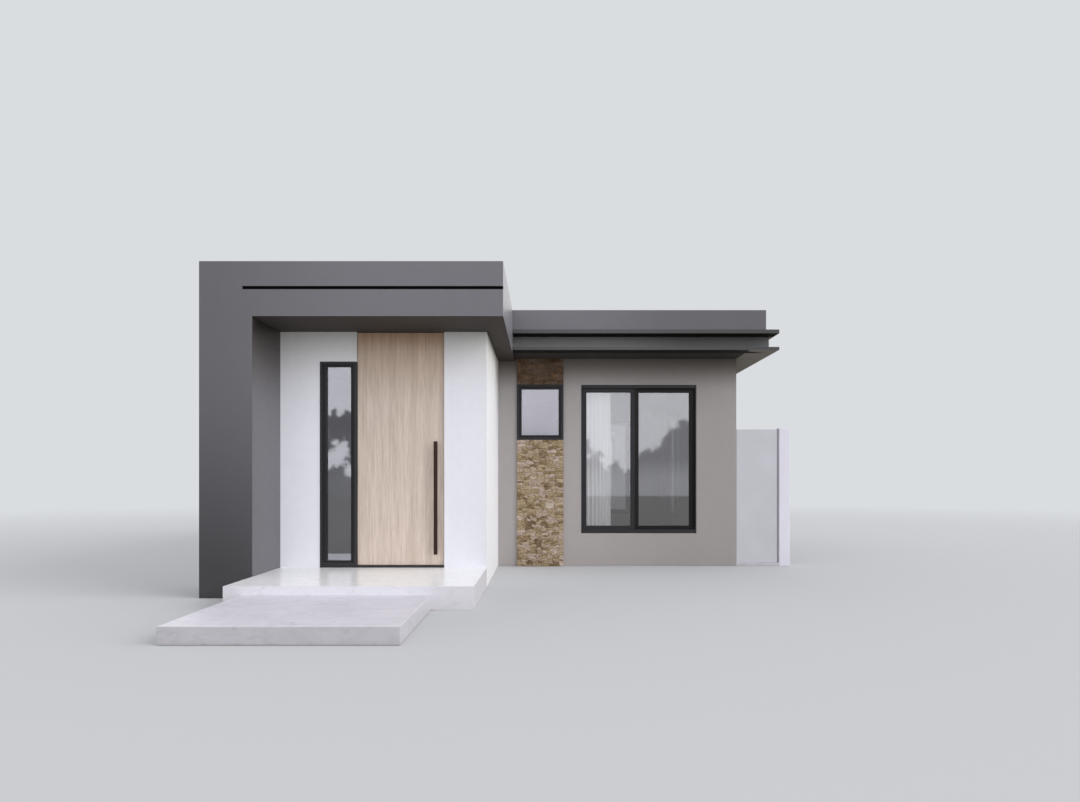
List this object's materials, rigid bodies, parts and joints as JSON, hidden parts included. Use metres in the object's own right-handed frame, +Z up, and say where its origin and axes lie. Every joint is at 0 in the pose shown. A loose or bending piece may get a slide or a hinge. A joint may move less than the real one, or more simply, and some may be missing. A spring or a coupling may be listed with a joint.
{
  "type": "flat-roofed bungalow",
  "caption": "Single-storey flat-roofed house with a portal frame over a tall pivot door, a set-back wing with stone strip and wide window, and a side gate.",
  "frame": {"origin": "middle of the base on the ground", "axes": "+Z up, +Y to the rear, so that the front with the door faces -Y, +X to the right seen from the front"},
  "size_m": [8.748, 14.12, 4.313],
  "materials": {
    "concrete_floor": "smooth screed",
    "porch_tile": "polished tile",
    "step_stone": "fine grey stone",
    "grey_render": "painted render, satin",
    "fascia_metal": "satin paint",
    "white_render": "painted render",
    "taupe_render": "painted render",
    "ledge_stone": "split ledge stone",
    "dark_frame": "satin powder coat",
    "oak": "oiled pale oak",
    "dark_pull": "dark bronze coat",
    "clear_glass": "clear",
    "frosted_glass": "frosted",
    "curtain_fabric": "sheer white",
    "rail_metal": "white paint",
    "gate_paint": "pale satin paint",
    "hinge_steel": "dark paint"
  },
  "bodies": {
    "house": {"main_floor": "concrete_floor", "hall_floor": "concrete_floor", "porch_floor": "porch_tile", "landing_step": "step_stone", "gate_sill": "step_stone", "portal_pier": "grey_render", "portal_beam": "grey_render", "portal_side_beam": "grey_render", "entry_roof_slab": "grey_render", "left_roof_band": "grey_render", "rear_roof_band": "grey_render", "front_parapet": "grey_render", "right_parapet": "grey_render", "rear_parapet": "grey_render", "wing_roof_slab": "fascia_metal", "lower_edge_plate": "fascia_metal", "upper_edge_plate": "fascia_metal", "entry_wall_left": "white_render", "entry_wall_head": "white_render", "entry_wall_right": "white_render", "return_wall": "white_render", "left_wall": "white_render", "gate_post": "white_render", "wing_front_wall": "taupe_render", "right_wall": "taupe_render", "rear_wall": "taupe_render", "stone_facing": "ledge_stone", "door_threshold": "dark_frame", "door_pivots": "dark_frame", "sidelight_frame": "dark_frame", "small_window_frame": "dark_frame", "wide_window_frame": "dark_frame", "wide_window_sashes": "dark_frame", "other_wide_frames": "dark_frame", "other_wide_sashes": "dark_frame", "other_small_frames": "dark_frame", "sidelight_glass": "clear_glass", "wide_window_glass": "clear_glass", "other_wide_glass": "clear_glass", "small_window_glass": "frosted_glass", "other_small_glass": "frosted_glass", "curtain": "curtain_fabric", "curtain_rail": "rail_metal", "gate_hinges": "hinge_steel"},
    "entry_door": {"door_leaf": "oak", "door_pulls": "dark_pull"},
    "gate_leaf": {"side_gate": "gate_paint"}
  },
  "joints": [
    {"name": "entry_door_swing", "type": "hinge", "parent": "house", "child": "entry_door", "pos_m": [-2.407, -3.385, 0.303], "axis": [0, 0, 1], "range_deg": [0, 90]},
    {"name": "gate_swing", "type": "hinge", "parent": "house", "child": "gate_leaf", "pos_m": [3.45, -0.843, 0.072], "axis": [0, 0, 1], "range_deg": [0, 90]}
  ]
}
